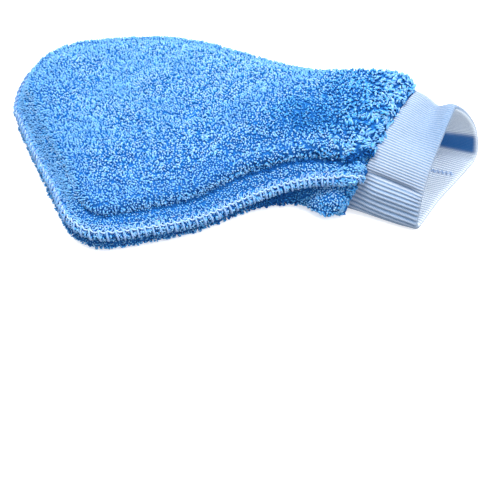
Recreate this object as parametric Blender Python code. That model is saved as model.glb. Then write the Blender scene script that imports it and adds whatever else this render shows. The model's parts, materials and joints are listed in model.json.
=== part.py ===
"""Wash mitt: two plush panels sewn into a pouch, with a rib cuff folded double at its neck.

The mitt lies on its palm panel.  +X runs from the fingertip end to the cuff, +Z is up, and the
origin is on the resting plane below the middle of the whole mitt.  All sizes are in metres.
"""

import math

import bmesh
import bpy
from mathutils import Vector

# ---- driving sizes -------------------------------------------------------------------------
POUCH_LENGTH = 0.236        # fingertip edge to the neck, along X
POUCH_WIDTH = 0.178         # widest part of the pouch, edge to edge
PLUSH_THICKNESS = 0.0050    # backing cloth with its pile
HEM_WIDTH = 0.0095          # overlocked edge that stands out round the pouch
HEM_WIDTH_AT_TIP = 0.0065   # the same edge across the fingertip end
HEM_WIDTH_AT_NECK = 0.0040  # and where it is pinched into the cuff seam
HEM_LAYER = 0.0016          # one panel, pressed flat in the overlocked edge
HEM_HEIGHT = 0.0100         # height of the overlocked edge above the table, away from the neck
PALM_BULGE = 0.0015         # how far the palm panel swells out beyond the overlocked edge
BUNCH_BULGE = 0.0160        # extra swelling where the palm panel is gathered beside the cuff
CUFF_LENGTH = 0.0345        # cuff seam to folded rim, along the near crease
CUFF_WALL = 0.0030          # two layers of rib knit
MOUTH_WIDTH = 0.0640        # open rim of the cuff, near crease to far crease
MOUTH_HEIGHT = 0.0550       # table to the top of the rim
THREAD = 0.0006             # thickness of a bulked overlock thread
GAP = 0.0003                # clearance between pieces that touch
CUFF_SEAM_GAP = 0.0022      # opening between the neck of the pouch and the cuff, for the flexing
HINGE_RISE = 0.0005         # the cuff's hinge line lies this far above the cuff at its seam

# ---- how finely the curved cloth is divided ------------------------------------------------
END_ROWS = 14               # rows round the fingertip end, tip to corner, on each side
SIDE_ROWS = 20              # rows from the corner to the neck, on each side
DOME_COLUMNS = 8            # columns from the edge up to the ridge
CUFF_ROWS = 6               # rows along the cuff
CUFF_COLUMNS = 34           # points round the cuff
SIDE_SEAM_STEPS = 5         # rows along the cuff's side seam

# ---- the laid-out shape --------------------------------------------------------------------
# Along is a share of POUCH_LENGTH from the fingertip edge, across is a share of POUCH_WIDTH
# from the middle line, and the third value is a height in metres above HEM_HEIGHT.
NEAR_EDGE = [(0.000, 0.148, 0), (0.059, -0.050, 0), (0.127, -0.252, 0), (0.180, -0.410, 0),
             (0.250, -0.476, 0), (0.352, -0.459, 0), (0.500, -0.400, 0), (0.614, -0.313, 0.002),
             (0.699, -0.278, 0.006), (0.771, -0.274, 0.010), (0.835, -0.294, 0.014),
             (0.886, -0.272, 0.016)]
FAR_EDGE = [(0.000, 0.148, 0), (0.000, 0.250, 0), (0.030, 0.375, 0.001), (0.106, 0.475, 0.001),
            (0.195, 0.518, 0.001), (0.309, 0.524, 0.001), (0.436, 0.503, 0.001),
            (0.564, 0.420, 0.001), (0.690, 0.305, 0.002), (0.818, 0.195, 0.005),
            (0.924, 0.118, 0.008), (1.020, 0.060, 0.010)]
NEAR_CORNER = 0.46          # share of each edge that lies round the fingertip end
FAR_CORNER = 0.30
HEM_DROOP = math.radians(24.0)        # how steeply the overlocked edge hangs outwards

# The ridge is the highest line of the back panel, with its height above the table.
RIDGE = [(0.203, 0.010, 0.033), (0.373, 0.040, 0.038), (0.555, 0.070, 0.042),
         (0.767, 0.060, 0.050), (0.869, 0.042, 0.057), (0.945, 0.017, 0.061),
         (1.000, -0.029, 0.055)]
NEAR_ROUNDNESS = (2.3, 1.45)   # at the tip and the neck: 1 is a straight slope, 2 a quarter circle
FAR_ROUNDNESS = (3.2, 1.60)
ROUNDNESS_ONSET = 1.5       # above 1 the shoulders stay full for longer towards the neck
DOME_SPACING = 1.4          # above 1 the columns crowd towards the seam, where the dome turns
NECK_LEAN = 0.018           # how far the underside of the neck is set back from its top
LEAN_START = 0.60           # where that setting back begins, corner to neck
PINCH_START = 0.75          # where the overlocked edge begins to narrow towards the cuff
NOTCH_DEPTH = 0.0060        # how far the palm panel is drawn in before the gathers
NOTCH_ONSET = 1.3           # above 1 the notch lies nearer the neck
BUNCH_PLACE = 0.90          # where the gathers lie along the near side, corner to neck
BUNCH_SPREAD = 0.10
CUFF_HEADING = math.radians(-24.0)    # the cuff is turned towards -Y
PALM_FLAT_SHARE = 0.97      # the depth at which the palm panel meets the table
STEP_UNDER_HEM = 0.0024     # straight drop of the palm panel before it swells out
PALM_TURN = 4               # above 1 the palm panel drops steeply before it turns in
PALM_INWARD = 3             # above 1 it stays near the edge for longer
PALM_SWELL = 0.8            # below 1 it is widest nearer the edge
LOOPER_CLEARANCE = 0.0316   # the loopers' distance from the cloth, by HEM_WIDTH
INNER_SHOULDER = 0.8        # share of the plush's thickness that the pouch's inside is set in

# The rim's near, top, far and lowest places as shares of the mouth's width and height, with the
# distance in metres that each lies beyond the near crease along the cuff.
RIM_NEAR = (0.000, 0.42, 0.000)
RIM_TOP = (0.700, 1.00, 0.001)
RIM_FAR = (1.000, 0.42, 0.011)
RIM_KEEL = (0.400, 0.00, 0.003)
RIM_ROUNDNESS = 1.35
RIM_BULGE = 0.0065
RIM_TURN = 0.97             # where the cuff's wall begins to turn over at its rim

# Thread rows in the cuff, as shares of its length from the neck seam to the rim.
CUFF_NEEDLE_BAND = (0.03, 0.06)
CUFF_LOOPER_BAND = (0.09, 0.24)
SIDE_SEAM_SPAN = (0.30, 0.92)
SIDE_SEAM_PLACE = CUFF_COLUMNS * 2 // 3      # the point round the cuff where it begins

TANGENT_STEP = 0.004        # share of an edge over which its direction is taken
MERGE = 0.00001             # points nearer than this are one


def place(point):
    """A laid-out point: shares of the pouch's length and width, with a height."""
    along, across, height = point
    return Vector((along * POUCH_LENGTH, across * POUCH_WIDTH, height))


def curve_through(points, share):
    """The point at a share of the way along a smooth curve through the given points."""
    lengths = [0.0]
    for start, end in zip(points, points[1:]):
        lengths.append(lengths[-1] + (end - start).length)
    target = min(max(share, 0.0), 1.0) * lengths[-1]
    index = max(i for i in range(len(points) - 1) if lengths[i] <= target)
    span = lengths[index + 1] - lengths[index]
    local = (target - lengths[index]) / span
    before = points[max(index - 1, 0)]
    start, end = points[index], points[index + 1]
    after = points[min(index + 2, len(points) - 1)]
    before_span = max((start - before).length, 1e-9)
    after_span = max((after - end).length, 1e-9)
    out_slope = (end - before) * (span / (span + before_span)) if index else end - start
    in_slope = (after - start) * (span / (span + after_span)) if after != end else end - start
    square, cube = local ** 2, local ** 3
    return (start * (2 * cube - 3 * square + 1) + out_slope * (cube - 2 * square + local)
            + end * (3 * square - 2 * cube) + in_slope * (cube - square))


def blend(first, second, share):
    return first + (second - first) * share


def flat(vector):
    return Vector((vector.x, vector.y, 0.0))


# ---- the lines that every piece is laid out from ---------------------------------------------
UP = Vector((0.0, 0.0, 1.0))
NEAR_POINTS = [place(point) for point in NEAR_EDGE]
FAR_POINTS = [place(point) for point in FAR_EDGE]
RIDGE_POINTS = [place(point) for point in RIDGE]
CUFF_AXIS = Vector((math.cos(CUFF_HEADING), math.sin(CUFF_HEADING), 0.0))
CUFF_ACROSS = Vector((-CUFF_AXIS.y, CUFF_AXIS.x, 0.0))
ROWS = END_ROWS + SIDE_ROWS


class Row:
    """One line of the pouch from its edge up to the ridge: the places every piece shares."""

    def __init__(self, side, index):
        points = NEAR_POINTS if side < 0 else FAR_POINTS
        corner = NEAR_CORNER if side < 0 else FAR_CORNER
        self.along = max(0.0, (index - END_ROWS) / SIDE_ROWS)
        share = blend(corner, 1.0, self.along)
        if index < END_ROWS:
            share = corner * index / END_ROWS
        ahead = (curve_through(points, share + TANGENT_STEP)
                 - curve_through(points, share - TANGENT_STEP))
        if index == 0:
            ahead = Vector((0.0, side, 0.0))
        ahead = flat(ahead).normalized()
        level = Vector((ahead.y, -ahead.x, 0.0)) * -side
        pinch = max(0.0, (self.along - PINCH_START) / (1.0 - PINCH_START)) ** 2
        self.hem_width = blend(HEM_WIDTH, HEM_WIDTH_AT_NECK, pinch)
        if index < END_ROWS:
            self.hem_width = blend(HEM_WIDTH_AT_TIP, HEM_WIDTH, (index / END_ROWS) ** 2)
        self.level = level
        self.outward = level * math.cos(HEM_DROOP) - UP * math.sin(HEM_DROOP)
        self.upward = UP * math.cos(HEM_DROOP) + level * math.sin(HEM_DROOP)
        self.edge = curve_through(points, share) + UP * HEM_HEIGHT
        self.seam = self.edge - self.outward * self.hem_width
        self.ridge = curve_through(RIDGE_POINTS, self.along)
        tip_roundness, neck_roundness = NEAR_ROUNDNESS if side < 0 else FAR_ROUNDNESS
        onset = self.along ** ROUNDNESS_ONSET
        self.roundness = blend(tip_roundness, neck_roundness, onset)
        self.bulge = PALM_BULGE - NOTCH_DEPTH * math.sin(math.pi * self.along ** NOTCH_ONSET)
        self.bulge += self.hem_width * math.cos(HEM_DROOP)
        if side < 0:
            self.bulge += BUNCH_BULGE * math.exp(-((self.along - BUNCH_PLACE) / BUNCH_SPREAD) ** 2)
        lean = max(0.0, (self.along - LEAN_START) / (1.0 - LEAN_START)) ** 2
        self.lean = CUFF_AXIS * -NECK_LEAN * lean
        self.keel = flat(self.ridge)


def rise(seam, top, roundness, share):
    """A point of the back panel: from the seam up over a rounded shoulder to the ridge."""
    height = (1.0 - (1.0 - share) ** roundness) ** (1.0 / roundness)
    point = blend(seam, top, share)
    point.z = blend(seam.z, top.z, height)
    return point


def drop(seam, keel, outward, bulge, share):
    """A point of the palm panel: from the seam out, down and in along the table."""
    depth = min(1.0, (1.0 - (1.0 - share) ** PALM_TURN) / PALM_FLAT_SHARE)
    swell = bulge * math.sin(math.pi * share ** PALM_SWELL)
    point = blend(seam, keel, share ** PALM_INWARD) + outward * swell
    point.z = blend(seam.z, keel.z, depth)
    return point


def all_rows():
    """The rows from the near side of the neck round the fingertips to the far side."""
    near = [Row(-1, index) for index in range(ROWS, -1, -1)]
    far = [Row(1, index) for index in range(1, ROWS + 1)]
    return near + far


PANEL_ROWS = all_rows()


def back_line(row, inset):
    """Outer (inset 0) or inner line of the back panel over one row, edge to ridge."""
    layer = row.upward * (HEM_LAYER if inset == 0 else GAP / 2)
    seam = row.seam + layer
    start = seam - row.level * inset * INNER_SHOULDER
    line = [row.edge + layer, seam]
    for column in range(1, DOME_COLUMNS + 1):
        share = (column / DOME_COLUMNS) ** DOME_SPACING
        line.append(rise(start, row.ridge - UP * inset, row.roundness, share))
    return line


def palm_line(row, inset):
    """Outer (inset 0) or inner line of the palm panel under one row, edge to keel."""
    layer = row.upward * (HEM_LAYER if inset == 0 else GAP / 2)
    seam = row.seam - layer
    step = STEP_UNDER_HEM if inset == 0 else GAP
    start = seam - UP * step - row.level * inset * INNER_SHOULDER
    keel = row.keel + UP * inset
    line = [row.edge - layer, seam, start]
    for column in range(1, DOME_COLUMNS + 1):
        share = column / DOME_COLUMNS
        point = drop(start, keel, row.level, max(row.bulge - inset, 0.0), share)
        depth = (start.z - point.z) / (start.z - keel.z)
        line.append(point + row.lean * depth)
    return line


# ---- building meshes -------------------------------------------------------------------------
def material(name, colour, roughness):
    made = bpy.data.materials.new(name)
    made.use_nodes = True
    shader = made.node_tree.nodes["Principled BSDF"]
    shader.inputs["Base Color"].default_value = (*colour, 1.0)
    shader.inputs["Roughness"].default_value = roughness
    shader.inputs["Metallic"].default_value = 0.0
    return made


def add_piece(name, points, faces, made, shift):
    """One named object from points and faces, with doubled points merged."""
    mesh = bpy.data.meshes.new(name)
    work = bmesh.new()
    verts = [work.verts.new(point + shift) for point in points]
    for face in faces:
        work.faces.new([verts[i] for i in face])
    bmesh.ops.remove_doubles(work, verts=work.verts, dist=MERGE)
    bmesh.ops.dissolve_degenerate(work, dist=MERGE, edges=work.edges)
    bmesh.ops.recalc_face_normals(work, faces=work.faces)
    work.to_mesh(mesh)
    work.free()
    mesh.shade_smooth()
    mesh.materials.append(made)
    piece = bpy.data.objects.new(name, mesh)
    bpy.context.scene.collection.objects.link(piece)
    return piece


def grid_faces(offset, rows, columns):
    """Quads of a grid whose points are numbered row by row from an offset."""
    faces = []
    for row in range(rows - 1):
        for column in range(columns - 1):
            first = offset + row * columns + column
            faces.append((first, first + 1, first + columns + 1, first + columns))
    return faces


def shell(line_of):
    """A cloth shell: outer and inner lines over every row, closed at the edge and the neck."""
    outer = [line_of(row, 0.0) for row in PANEL_ROWS]
    inner = [line_of(row, PLUSH_THICKNESS) for row in PANEL_ROWS]
    columns = len(outer[0])
    count = len(outer) * columns
    points = [point for line in outer + inner for point in line]
    faces = grid_faces(0, len(outer), columns)
    faces += [tuple(reversed(face)) for face in grid_faces(count, len(outer), columns)]
    for row in range(len(outer) - 1):
        first, second = row * columns, (row + 1) * columns
        faces.append((first, second, second + count, first + count))
    for row in (0, len(outer) - 1):
        for column in range(columns - 1):
            first = row * columns + column
            faces.append((first, first + 1, first + 1 + count, first + count))
    return points, faces


def swept(sections, closed):
    """A solid swept through sections of equal point counts: an open strip or a closed ring."""
    sides = len(sections[0])
    points = [point for section in sections for point in section]
    faces = []
    last = len(sections) if closed else len(sections) - 1
    for row in range(last):
        following = (row + 1) % len(sections)
        for side in range(sides):
            beside = (side + 1) % sides
            faces.append((row * sides + side, row * sides + beside,
                          following * sides + beside, following * sides + side))
    if not closed:
        faces.append(tuple(range(sides)))
        faces.append(tuple((len(sections) - 1) * sides + side for side in range(sides)))
    return points, faces


def edge_strip(profile):
    """A thread that follows the overlocked edge, from (outward, up) profile points."""
    sections = []
    for row in PANEL_ROWS:
        section = []
        for outward, up in profile(row):
            section.append(row.edge + row.outward * outward + row.upward * up)
        sections.append(section)
    return swept(sections, closed=False)


def needle_profile(row):
    low = HEM_LAYER + GAP
    start = -row.hem_width + GAP
    return [(start, low), (start + THREAD, low), (start + THREAD, low + THREAD),
            (start, low + THREAD)]


def upper_looper_profile(row):
    low = HEM_LAYER + LOOPER_CLEARANCE * HEM_WIDTH
    start = -row.hem_width + THREAD + 3 * GAP
    end = GAP + THREAD
    return [(start, low), (end, low), (end, low + THREAD), (start, low + THREAD)]


def lower_looper_profile(row):
    high = -HEM_LAYER - LOOPER_CLEARANCE * HEM_WIDTH
    start = -row.hem_width + THREAD + 3 * GAP
    end = GAP + THREAD
    return [(start, high), (GAP, high), (GAP, HEM_LAYER), (end, HEM_LAYER),
            (end, high - THREAD), (start, high - THREAD)]


# ---- the cuff ----------------------------------------------------------------------------------
def even_ring(points):
    """The closed ring through the points, divided into even steps from its first point."""
    closed = points + points[:1]
    ring = [curve_through(closed, column / CUFF_COLUMNS) for column in range(CUFF_COLUMNS)]
    return [flat(point) + UP * max(point.z, 0.0) for point in ring]


def neck_ring():
    """The open neck of the pouch as one ring: over the back panel, then under the palm."""
    near, far = PANEL_ROWS[0], PANEL_ROWS[-1]
    over = back_line(near, 0.0)[2:] + back_line(far, 0.0)[-2:1:-1]
    under = palm_line(far, 0.0)[3:] + palm_line(near, 0.0)[-2:3:-1]
    return even_ring([near.seam] + over + [far.seam] + under)


def rim_ring():
    """The rim of the cuff, from its near crease over the top and back along the table."""
    crease = flat(PANEL_ROWS[0].seam) + CUFF_AXIS * CUFF_LENGTH
    near, top, far, keel = [
        crease + CUFF_ACROSS * across * MOUTH_WIDTH + CUFF_AXIS * beyond
        + UP * height * MOUTH_HEIGHT
        for across, height, beyond in (RIM_NEAR, RIM_TOP, RIM_FAR, RIM_KEEL)]
    shares = [column / DOME_COLUMNS for column in range(1, DOME_COLUMNS)]
    over = [rise(near, top, RIM_ROUNDNESS, share) for share in shares]
    over += [top] + [rise(far, top, RIM_ROUNDNESS, share) for share in reversed(shares)]
    under = [drop(far, keel, CUFF_ACROSS, RIM_BULGE, share) for share in shares]
    under += [keel] + [drop(near, keel, -CUFF_ACROSS, RIM_BULGE, share)
                       for share in reversed(shares)]
    return even_ring([near] + over + [far] + under)


NECK_RING = neck_ring()
RIM_RING = rim_ring()


def cuff_ring(share, inset):
    """A ring of the cuff, from the neck seam (0) to the rim (1), inset from the outer face."""
    ring = [blend(neck + CUFF_AXIS * CUFF_SEAM_GAP, rim, share)
            for neck, rim in zip(NECK_RING, RIM_RING)]
    placed = []
    for index, point in enumerate(ring):
        along = ring[(index + 1) % len(ring)] - ring[index - 1]
        inward = along.cross(CUFF_AXIS).normalized()
        placed.append(point + inward * inset)
    return placed


def cuff_wall():
    """The folded rib tube: out along its outer face, round the rim and back inside."""
    rings = [cuff_ring(row / CUFF_ROWS, 0.0) for row in range(CUFF_ROWS)]
    rings.append(cuff_ring(RIM_TURN, 0.0))
    rings.append(cuff_ring(1.0, CUFF_WALL * 0.5))
    rings.append(cuff_ring(RIM_TURN, CUFF_WALL))
    rings += [cuff_ring(row / CUFF_ROWS, CUFF_WALL) for row in range(CUFF_ROWS - 1, -1, -1)]
    return swept(rings, closed=True)


def ring_band(span, depth):
    """A thread band round the inside of the cuff, between two shares of its length."""
    start, end = span
    low = CUFF_WALL + GAP + depth
    corners = [(start, low), (end, low), (end, low + THREAD), (start, low + THREAD)]
    rings = [cuff_ring(share, inset) for share, inset in corners]
    return swept(rings, closed=True)


def side_seam_strip():
    """The seam that closes the rib strip into a tube, inside the cuff beside its far crease."""
    start, end = SIDE_SEAM_SPAN
    corners = slice(SIDE_SEAM_PLACE, SIDE_SEAM_PLACE + 2)
    sections = []
    for step in range(SIDE_SEAM_STEPS + 1):
        share = blend(start, end, step / SIDE_SEAM_STEPS)
        outer = cuff_ring(share, CUFF_WALL + GAP)[corners]
        inner = cuff_ring(share, CUFF_WALL + GAP + THREAD)[corners]
        sections.append(outer + list(reversed(inner)))
    return swept(sections, closed=False)


def middle_of(pieces):
    """The middle of everything, on the table."""
    points = [point for points, faces in pieces for point in points]
    lows = [min(point[axis] for point in points) for axis in range(3)]
    highs = [max(point[axis] for point in points) for axis in range(3)]
    return Vector(((lows[0] + highs[0]) / 2, (lows[1] + highs[1]) / 2, lows[2]))


def main():
    for old in list(bpy.data.objects):
        bpy.data.objects.remove(old)
    plush = material("plush_blue", (0.12, 0.42, 0.86), 0.95)
    rib = material("rib_pale_blue", (0.50, 0.68, 0.92), 0.85)
    thread = material("thread_blue", (0.42, 0.66, 0.92), 0.70)
    pouch = {
        "back_panel": (shell(back_line), plush),
        "palm_panel": (shell(palm_line), plush),
        "edge_needle_thread": (edge_strip(needle_profile), thread),
        "edge_upper_looper_thread": (edge_strip(upper_looper_profile), thread),
        "edge_lower_looper_thread": (edge_strip(lower_looper_profile), thread),
    }
    cuff = {
        "rib_cuff": (cuff_wall(), rib),
        "cuff_seam_needle_thread": (ring_band(CUFF_NEEDLE_BAND, 0.0), thread),
        "cuff_seam_upper_looper_thread": (ring_band(CUFF_LOOPER_BAND, 0.0), thread),
        "cuff_seam_lower_looper_thread": (ring_band(CUFF_LOOPER_BAND, THREAD + GAP), thread),
        "cuff_side_seam_thread": (side_seam_strip(), thread),
    }
    everything = list(pouch.values()) + list(cuff.values())
    middle = middle_of([solid for solid, made in everything])
    top = max(cuff_ring(0.0, 0.0), key=lambda point: point.z)
    hinge = top - CUFF_AXIS * CUFF_SEAM_GAP + UP * HINGE_RISE - middle
    for name, place_of, pieces in (("pouch_frame", Vector(), pouch),
                                   ("cuff_hinge", hinge, cuff)):
        empty = bpy.data.objects.new(name, None)
        empty.location = place_of
        bpy.context.scene.collection.objects.link(empty)
        for piece_name, ((points, faces), made) in pieces.items():
            piece = add_piece(piece_name, points, faces, made, -middle - place_of)
            piece.parent = empty


main()
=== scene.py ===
"""Wash mitt: curly plush panels overlocked into a pouch, gathered onto a folded rib cuff."""
import json
import math

import bpy
import numpy as np
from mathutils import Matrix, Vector
from mathutils.kdtree import KDTree


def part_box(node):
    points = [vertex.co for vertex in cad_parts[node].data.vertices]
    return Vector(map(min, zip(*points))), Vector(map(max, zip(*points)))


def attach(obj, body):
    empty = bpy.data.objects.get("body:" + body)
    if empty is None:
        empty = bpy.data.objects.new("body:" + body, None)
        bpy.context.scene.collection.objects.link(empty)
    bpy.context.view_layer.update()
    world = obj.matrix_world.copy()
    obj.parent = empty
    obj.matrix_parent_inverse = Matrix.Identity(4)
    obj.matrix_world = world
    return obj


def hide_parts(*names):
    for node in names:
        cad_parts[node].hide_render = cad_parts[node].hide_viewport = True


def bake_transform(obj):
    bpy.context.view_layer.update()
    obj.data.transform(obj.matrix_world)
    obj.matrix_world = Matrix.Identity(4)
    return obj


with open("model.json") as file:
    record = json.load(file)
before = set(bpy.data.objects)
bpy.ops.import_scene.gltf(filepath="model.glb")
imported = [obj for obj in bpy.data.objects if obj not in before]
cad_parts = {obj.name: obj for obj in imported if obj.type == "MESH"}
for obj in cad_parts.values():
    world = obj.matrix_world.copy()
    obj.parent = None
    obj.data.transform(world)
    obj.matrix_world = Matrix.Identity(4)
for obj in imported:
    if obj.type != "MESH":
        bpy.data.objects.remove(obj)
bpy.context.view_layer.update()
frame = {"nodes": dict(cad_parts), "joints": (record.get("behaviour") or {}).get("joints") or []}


# ---- table, studio and camera ----------------------------------------------------------------
# The mitt lies on a plain pale table in a white room, under one broad soft lamp overhead and a
# second one from the cuff's side as fill.
TABLE_SIZE = 6.0
TABLE_DROP = 0.0004          # the table top lies this far under the mitt
TABLE_WHITE = (0.56, 0.57, 0.58)
TABLE_GLOW = 0.55            # the table top is lit from below, as a product table is
ROOM_LIGHT = (0.62, 0.82)    # below the table and overhead
LAMP_PLACE = (-0.25, 0.05, 1.40)
LAMP_SIZE = 0.9
LAMP_POWER = 24.0
FILL_PLACE = (0.9, -0.5, 1.2)
FILL_POWER = 15.0
CAMERA_PLACE = (0.0178, -0.7058, 0.5985)
CAMERA_HEADING = math.radians(1.0)
CAMERA_DIP = math.radians(43.87)
CAMERA_LENS = 111.7
UP = np.array((0.0, 0.0, 1.0))


class Strand:
    """A number from a material's nodes; arithmetic on it adds Math nodes."""

    def __init__(self, finish, socket):
        self.finish, self.socket = finish, socket

    def math(self, operation, *values):
        inputs = {index: value for index, value in enumerate(values)}
        made = self.finish.node("ShaderNodeMath", {"operation": operation}, inputs)
        return Strand(self.finish, made.outputs[0])

    def __add__(self, other):
        return self.math("ADD", self, other)

    def __radd__(self, other):
        return self.math("ADD", other, self)

    def __sub__(self, other):
        return self.math("SUBTRACT", self, other)

    def __rsub__(self, other):
        return self.math("SUBTRACT", other, self)

    def __mul__(self, other):
        return self.math("MULTIPLY", self, other)

    def __rmul__(self, other):
        return self.math("MULTIPLY", other, self)

    def clamp(self):
        return self.math("MINIMUM", self.math("MAXIMUM", self, 0.0), 1.0)


class Finish:
    """A material and the one method that adds a node to it."""

    def __init__(self, name, roughness, sheen=0.0):
        self.material = bpy.data.materials.new(name)
        self.material.use_nodes = True
        self.tree = self.material.node_tree
        self.shader = self.tree.nodes["Principled BSDF"]
        self.shader.inputs["Roughness"].default_value = roughness
        self.shader.inputs["Sheen Weight"].default_value = sheen
        self.shader.inputs["Sheen Roughness"].default_value = 0.5

    def node(self, kind, settings=None, inputs=None):
        made = self.tree.nodes.new(kind)
        for name, value in (settings or {}).items():
            if name == "stops":
                for place, colour in value:
                    stop = made.color_ramp.elements.new(place)
                    stop.color = (*colour, 1.0)
                made.color_ramp.elements.remove(made.color_ramp.elements[0])
                made.color_ramp.elements.remove(made.color_ramp.elements[-1])
            else:
                setattr(made, name, value)
        for name, value in (inputs or {}).items():
            self.feed(made.inputs[name], value)
        return made

    def feed(self, socket, value):
        if isinstance(value, Strand):
            value = value.socket
        if isinstance(value, bpy.types.NodeSocket):
            self.tree.links.new(value, socket)
        else:
            socket.default_value = value

    def place(self):
        return self.node("ShaderNodeTexCoord").outputs["Object"]

    def noise(self, place, scale, detail=2.0, roughness=0.5):
        made = self.node("ShaderNodeTexNoise", None, {
            "Vector": place, "Scale": scale, "Detail": detail, "Roughness": roughness})
        return Strand(self, made.outputs["Fac"])

    def mix(self, share, first, second):
        made = self.node("ShaderNodeMix", {"data_type": "RGBA"}, {0: share})
        for index, value in ((6, first), (7, second)):
            self.feed(made.inputs[index], value if hasattr(value, "is_linked") else (*value, 1.0))
        return made.outputs[2]

    def colour(self, value):
        self.feed(self.shader.inputs["Base Color"], value)

    def bump(self, height, strength, distance):
        made = self.node("ShaderNodeBump", None, {
            "Height": height, "Strength": strength, "Distance": distance})
        self.feed(self.shader.inputs["Normal"], made.outputs[0])


def deselect():
    bpy.ops.object.select_all(action="DESELECT")


def pick(piece):
    """Makes one piece the only selected one."""
    deselect()
    piece.select_set(True)
    bpy.context.view_layer.objects.active = piece


deselect()
bpy.ops.mesh.primitive_plane_add(size=TABLE_SIZE, location=(0, 0, -TABLE_DROP))
table = bpy.context.object
table.name = "table_top"
table_finish = Finish("pale_table", 0.7)
table_mottle = table_finish.noise(table_finish.place(), 3.0)
table_finish.colour(table_finish.mix(table_mottle, TABLE_WHITE, (0.95, 0.95, 0.95)))
table_finish.shader.inputs["Emission Color"].default_value = (1, 1, 1, 1)
table_finish.shader.inputs["Emission Strength"].default_value = TABLE_GLOW
table_finish.shader.inputs["Specular IOR Level"].default_value = 0.1
table.data.materials.append(table_finish.material)
table.visible_diffuse = False

room = bpy.data.worlds.new("white_room")
room.use_nodes = True
room_nodes, room_links = room.node_tree.nodes, room.node_tree.links
room_way = room_nodes.new("ShaderNodeTexCoord")
room_split = room_nodes.new("ShaderNodeSeparateXYZ")
room_fade = room_nodes.new("ShaderNodeMapRange")
room_links.new(room_way.outputs["Generated"], room_split.inputs[0])
room_links.new(room_split.outputs["Z"], room_fade.inputs["Value"])
for room_input, room_value in (("From Min", -0.15), ("From Max", 0.75),
                               ("To Min", ROOM_LIGHT[0]), ("To Max", ROOM_LIGHT[1])):
    room_fade.inputs[room_input].default_value = room_value
room_links.new(room_fade.outputs[0], room_nodes["Background"].inputs["Strength"])
room_nodes["Background"].inputs["Color"].default_value = (1.0, 1.0, 1.0, 1.0)
bpy.context.scene.world = room
for lamp_name, lamp_place, lamp_power in (("soft_lamp", LAMP_PLACE, LAMP_POWER),
                                          ("front_fill", FILL_PLACE, FILL_POWER)):
    lamp_data = bpy.data.lights.new(lamp_name, "AREA")
    lamp_data.energy = lamp_power
    lamp_data.size = LAMP_SIZE
    lamp = bpy.data.objects.new(lamp_name, lamp_data)
    bpy.context.scene.collection.objects.link(lamp)
    lamp.location = lamp_place
    lamp.rotation_euler = (-Vector(lamp_place)).to_track_quat("-Z", "Y").to_euler()

camera = bpy.data.objects.new("camera", bpy.data.cameras.new("camera"))
bpy.context.scene.collection.objects.link(camera)
camera.location = CAMERA_PLACE
camera.rotation_euler = (math.pi / 2 - CAMERA_DIP, 0.0, CAMERA_HEADING)
camera.data.lens = CAMERA_LENS
camera.data.sensor_width = 36.0
camera.data.clip_start = 0.05
bpy.context.scene.camera = camera
bpy.context.scene.view_settings.view_transform = "Standard"


# ---- back panel --------------------------------------------------------------------------------
# The half that faces up: a knitted backing with a curly polyester pile in short clumped locks.
# It is cut as one piece, overlocked to the palm panel and gathered where it meets the cuff.
PILE_GAP = 0.00114            # between the roots of neighbouring locks
PILE_HEIGHT = 0.0021
LOCK_WIDTH = 0.00060
PILE_BED = 0.0009             # how far the backing lies below the middle of the pile
CLUMP_GAP = 0.0030            # locks lean together in clumps about this far apart
HEM_TAKE = 0.76               # the share of the edge's width left once the threads pull it in
ROOT_DEPTH = 0.0004
NECK_REACH = 0.045            # how far the gathers run up the panel from the cuff seam
GATHER_WAVE = 0.0105
GATHER_HEIGHT = 0.0011
ROLL_HEIGHT = 0.0016          # the back swells in a roll along the inner side of the edge
GROOVE_DEPTH = 0.0021         # between that roll and the edge, along the near side
COLLAR_HEIGHT = 0.0020        # the plush stands up where it is gathered at the cuff
LOCKS_PER_PIECE = 9800        # 20 triangles each, and a piece stays under 200,000
HEM_THICKNESS = 0.0016        # one panel, pressed flat in the overlocked edge
RIM_THREAD = 0.0009           # how far the looper thread stands out past the cloth's edge
NEEDLE_OFFSET = (0.0006, 0.0022)   # the needle thread, out and up from the seam in mid edge
HEM_DROOP = math.radians(24.0)
# From root to tip: the root colour is painted shade deep between the locks, the tip and pale colours
# painted highlight on their tips.
PILE_ROOT = (0.004, 0.100, 0.40)
PILE_BODY = (0.055, 0.345, 0.78)
PILE_TIP = (0.240, 0.525, 0.880)
PILE_PALE = (0.360, 0.615, 0.900)
BACKING_BLUE = (0.012, 0.140, 0.46)


def drift(points, size, seed):
    """Smooth random rise and fall over the cloth, about -1 to 1, with features of one size."""
    rng = np.random.default_rng(seed)
    waves = rng.normal(size=(20, 3))
    waves *= (2 * math.pi / size) / np.linalg.norm(waves, axis=1)[:, None]
    phases = rng.uniform(0, 2 * math.pi, 20)
    return np.sin(points @ waves.T + phases).sum(axis=1) * 0.22


def smooth_line(points, step, closed=False):
    """Even points along a smooth curve through the given ones."""
    points = np.asarray(points, float)
    if closed:
        points = np.vstack([points[-1:], points, points[:2]])
    else:
        points = np.vstack([2 * points[:1] - points[1:2], points, 2 * points[-1:] - points[-2:-1]])
    share = np.linspace(0, 1, 24, endpoint=False)[:, None]
    runs = []
    for index in range(1, len(points) - 2):
        before, start, end, after = points[index - 1:index + 3]
        runs.append(0.5 * (2 * start + (end - before) * share
                           + (2 * before - 5 * start + 4 * end - after) * share ** 2
                           + (3 * start - before - 3 * end + after) * share ** 3))
    fine = np.vstack(runs + [points[-2:-1]])
    lengths = np.r_[0, np.cumsum(np.linalg.norm(np.diff(fine, axis=0), axis=1))]
    count = max(2, int(round(lengths[-1] / step)) + (0 if closed else 1))
    wanted = np.linspace(0, lengths[-1], count, endpoint=not closed)
    return np.stack([np.interp(wanted, lengths, fine[:, axis]) for axis in range(3)], axis=1)


def unit(vectors):
    return vectors / np.maximum(np.linalg.norm(vectors, axis=-1, keepdims=True), 1e-12)


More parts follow.
